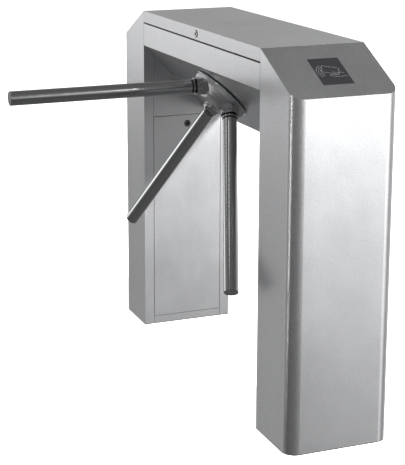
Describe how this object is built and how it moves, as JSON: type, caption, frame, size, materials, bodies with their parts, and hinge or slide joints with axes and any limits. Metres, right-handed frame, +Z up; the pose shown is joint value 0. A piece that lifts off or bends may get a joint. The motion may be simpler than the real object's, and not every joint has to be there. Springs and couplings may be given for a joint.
{
  "type": "tripod turnstile",
  "caption": "Waist-high bridge tripod turnstile in brushed stainless steel, which lets visitors through one by one and counts them, with card reader windows.",
  "frame": {"origin": "on the floor, at the centre of the four floor anchor holes, two in each leg", "axes": "+Y along the cabinet's length, +Z up, -X towards the side where the arms reach out and visitors pass"},
  "size_m": [0.8065, 1.2, 0.98],
  "materials": {
    "brushed_steel": "satin brushed stainless sheet",
    "lid_inlay": "satin stainless blanking disc",
    "reader_glass": "gloss black reader window",
    "black_plastic": "moulded black",
    "plain_steel": "bare or grey painted mild steel",
    "zinc_plate": "zinc plated steel",
    "polished_steel": "mirror polished stainless",
    "hub_metal": "polished cast stainless",
    "aluminium": "machined",
    "circuit_board": "green circuit board",
    "coil_cover": "dark coil cover",
    "duct_plastic": "grey trunking"
  },
  "bodies": {
    "cabinet": {"far_casing": "brushed_steel", "near_casing": "brushed_steel", "far_end_plate": "brushed_steel", "near_end_plate": "brushed_steel", "far_reader_window": "reader_glass", "near_reader_window": "reader_glass", "reader_modules": "black_plastic", "far_upper_plate": "brushed_steel", "near_upper_plate": "brushed_steel", "sills": "brushed_steel", "base_plates": "plain_steel", "bridge_panel": "brushed_steel", "bridge_rear_panel": "brushed_steel", "lid_hinge_fixed": "plain_steel", "lid_hinge_pins": "polished_steel", "service_trays": "plain_steel", "counter_board": "circuit_board", "power_supply": "plain_steel", "cable_duct": "duct_plastic", "mech_plate": "plain_steel", "mech_studs": "zinc_plate", "bearing_housing": "aluminium", "shaft_bearings": "polished_steel", "carrier_plate": "plain_steel", "carrier_posts": "zinc_plate", "pawl_pivots": "polished_steel", "solenoids": "coil_cover", "solenoid_brackets": "plain_steel", "damper_body": "black_plastic", "position_sensors": "black_plastic"},
    "tripod": {"hub_disc": "polished_steel", "hub_body": "hub_metal", "hub_cap": "polished_steel", "arm_collars": "polished_steel", "arm_1": "polished_steel", "arm_2": "polished_steel", "arm_3": "polished_steel", "arm_end_caps": "polished_steel", "main_shaft": "polished_steel", "shaft_nut": "zinc_plate", "index_wheel": "plain_steel", "encoder_disc": "black_plastic", "drive_gear": "plain_steel"},
    "damper_rotor": {"damper_rotor": "zinc_plate"},
    "left_pawl": {"left_pawl": "plain_steel"},
    "right_pawl": {"right_pawl": "plain_steel"},
    "left_plunger": {"left_plunger": "polished_steel"},
    "right_plunger": {"right_plunger": "polished_steel"},
    "lid": {"lid": "brushed_steel", "lid_disc": "lid_inlay", "lid_lock": "polished_steel", "lid_hinge_moving": "plain_steel"},
    "lid_lock_plug": {"lid_lock_plug": "plain_steel"},
    "far_door": {"far_door": "brushed_steel", "far_door_lock": "polished_steel"},
    "near_door": {"near_door": "brushed_steel", "near_door_lock": "polished_steel"},
    "far_lock_plug": {"far_lock_plug": "plain_steel"},
    "near_lock_plug": {"near_lock_plug": "plain_steel"}
  },
  "joints": [
    {"name": "tripod_turn", "type": "hinge", "parent": "cabinet", "child": "tripod", "pos_m": [-0.06222, 0, 0.79962], "axis": [-0.7071, 0, -0.7071], "continuous": true},
    {"name": "damper_spin", "type": "hinge", "parent": "cabinet", "child": "damper_rotor", "pos_m": [-0.01767, 0, 0.75507], "axis": [-0.7071, 0, -0.7071], "continuous": true},
    {"name": "left_pawl_swing", "type": "hinge", "parent": "cabinet", "child": "left_pawl", "pos_m": [-0.08767, 0.084, 0.82507], "axis": [-0.7071, 0, -0.7071], "range_deg": [0, 15]},
    {"name": "right_pawl_swing", "type": "hinge", "parent": "cabinet", "child": "right_pawl", "pos_m": [-0.08767, -0.084, 0.82507], "axis": [0.7071, 0, 0.7071], "range_deg": [0, 15]},
    {"name": "left_plunger_slide", "type": "slide", "parent": "cabinet", "child": "left_plunger", "axis": [0, 1, 0], "range_m": [0, 0.0065]},
    {"name": "right_plunger_slide", "type": "slide", "parent": "cabinet", "child": "right_plunger", "axis": [0, -1, 0], "range_m": [0, 0.0065]},
    {"name": "lid_open", "type": "hinge", "parent": "cabinet", "child": "lid", "pos_m": [0.144, 0, 0.94475], "axis": [0, 1, 0], "range_deg": [0, 100]},
    {"name": "lid_lock_turn", "type": "hinge", "parent": "lid", "child": "lid_lock_plug", "pos_m": [-0.14, 0, 0.963], "axis": [1, 0, 0], "range_deg": [0, 90]},
    {"name": "far_door_tilt", "type": "hinge", "parent": "cabinet", "child": "far_door", "pos_m": [0, 0.4155, 0.024], "axis": [1, 0, 0], "range_deg": [0, 15]},
    {"name": "near_door_tilt", "type": "hinge", "parent": "cabinet", "child": "near_door", "pos_m": [0, -0.4155, 0.024], "axis": [-1, 0, 0], "range_deg": [0, 15]},
    {"name": "far_lock_turn", "type": "hinge", "parent": "far_door", "child": "far_lock_plug", "pos_m": [0, 0.4155, 0.63], "axis": [0, -1, 0], "range_deg": [0, 90]},
    {"name": "near_lock_turn", "type": "hinge", "parent": "near_door", "child": "near_lock_plug", "pos_m": [0, -0.4155, 0.63], "axis": [0, -1, 0], "range_deg": [0, 90]}
  ],
  "couplings": [
    {"joint": "damper_spin", "follows": "tripod_turn", "ratio": -2.5},
    {"joint": "left_plunger_slide", "follows": "left_pawl_swing", "m_per_rad": 0.0247},
    {"joint": "right_plunger_slide", "follows": "right_pawl_swing", "m_per_rad": 0.0247}
  ]
}
